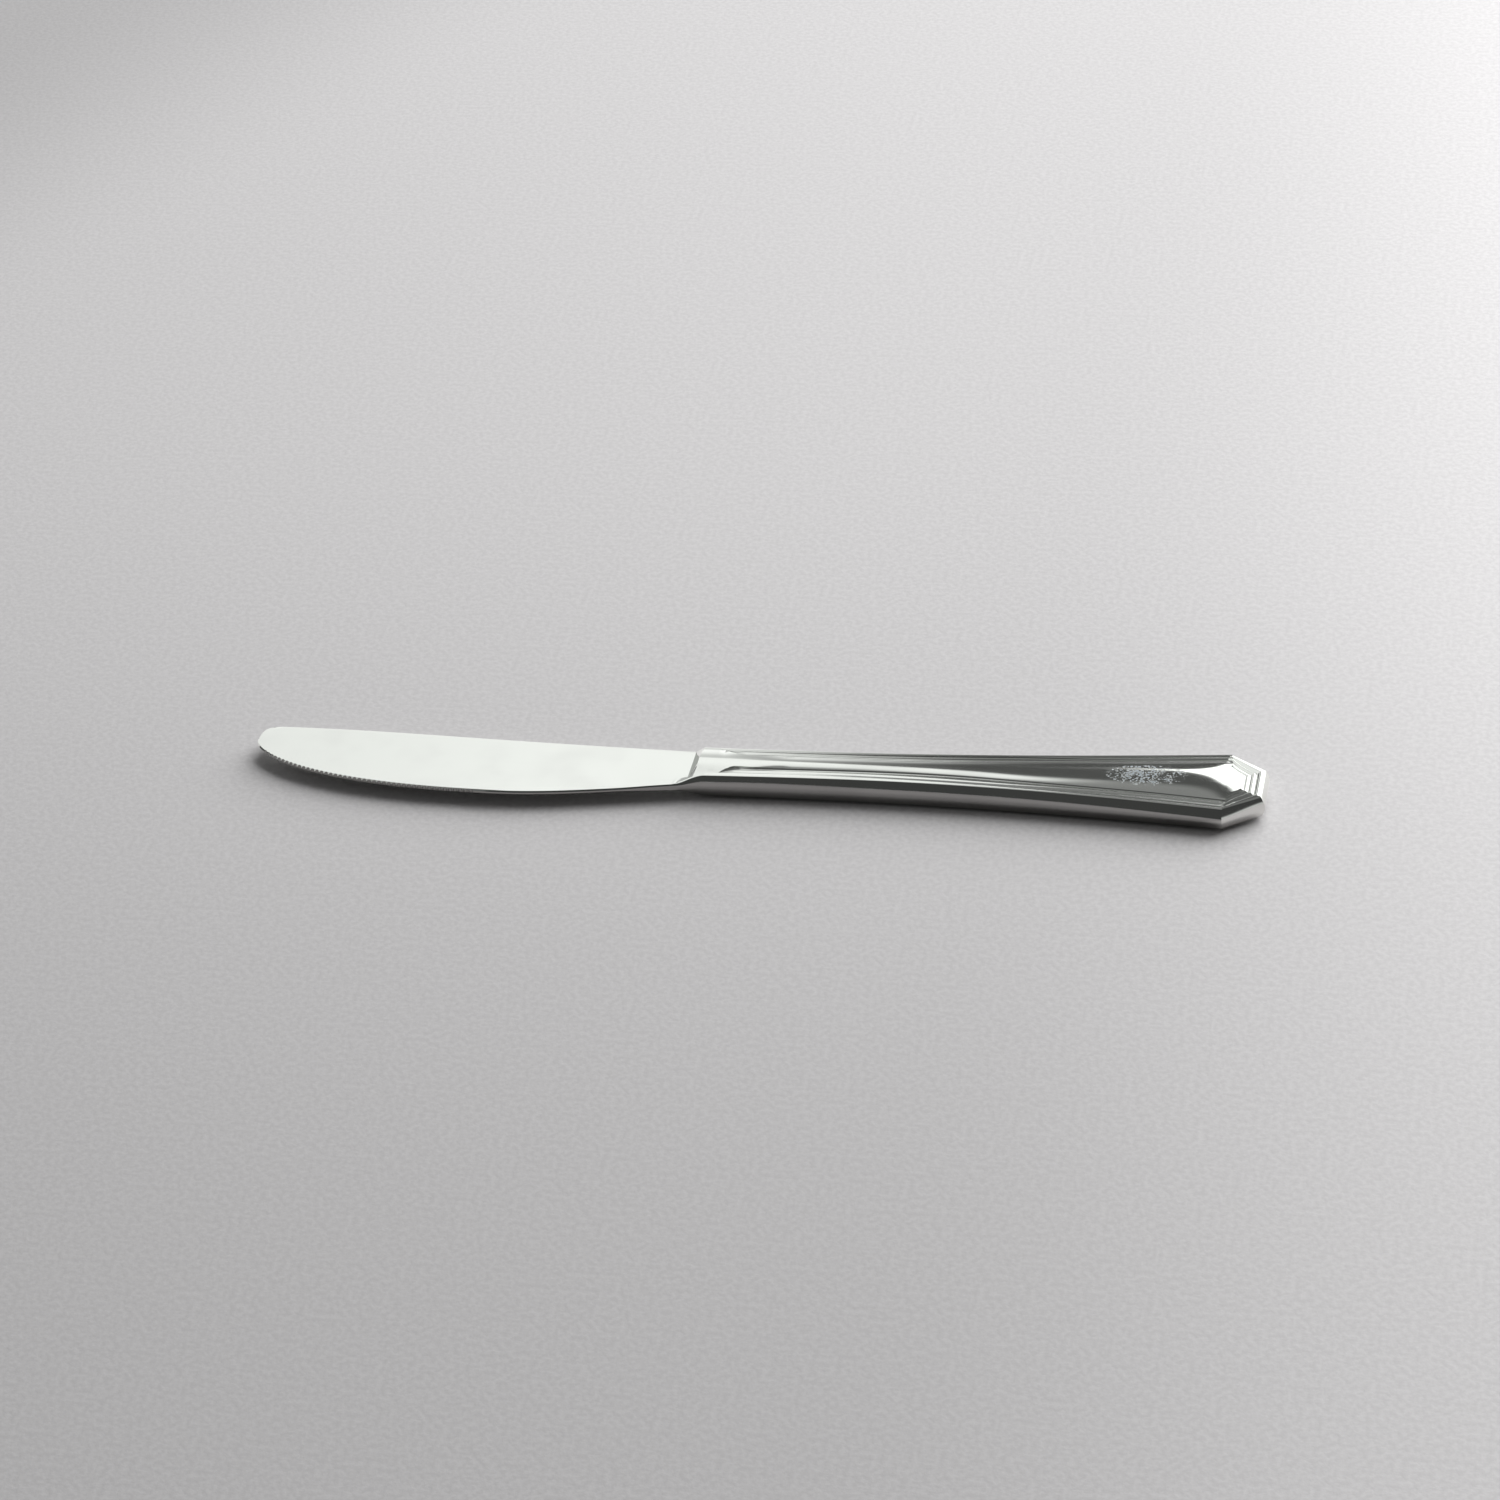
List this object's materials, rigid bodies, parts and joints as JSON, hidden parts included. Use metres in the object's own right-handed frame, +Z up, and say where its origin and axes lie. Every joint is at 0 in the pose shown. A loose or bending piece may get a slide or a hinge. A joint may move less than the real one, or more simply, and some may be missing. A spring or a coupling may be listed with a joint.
{
  "type": "dessert knife",
  "caption": "All-steel dessert knife with a round-nosed serrated blade, a bolster, and a hollow handle that flares to a cut-cornered butt inside a moulded border",
  "frame": {"origin": "On the table, under the middle of the knife's bounding box, with the knife lying flat on its handle", "axes": "+X runs from the tip of the blade to the butt of the handle, +Y is towards the back of the blade and -Y towards its cutting edge, +Z is up from the table"},
  "size_m": [0.2082, 0.02, 0.0065],
  "materials": {
    "blade_steel": "mirror-polished stainless steel",
    "handle_steel": "mirror-polished stainless steel",
    "core_cement": "set cement, matte"
  },
  "bodies": {
    "root": {"blade": "blade_steel", "handle_shell_top": "handle_steel", "handle_shell_bottom": "handle_steel", "handle_core": "core_cement"}
  },
  "joints": []
}
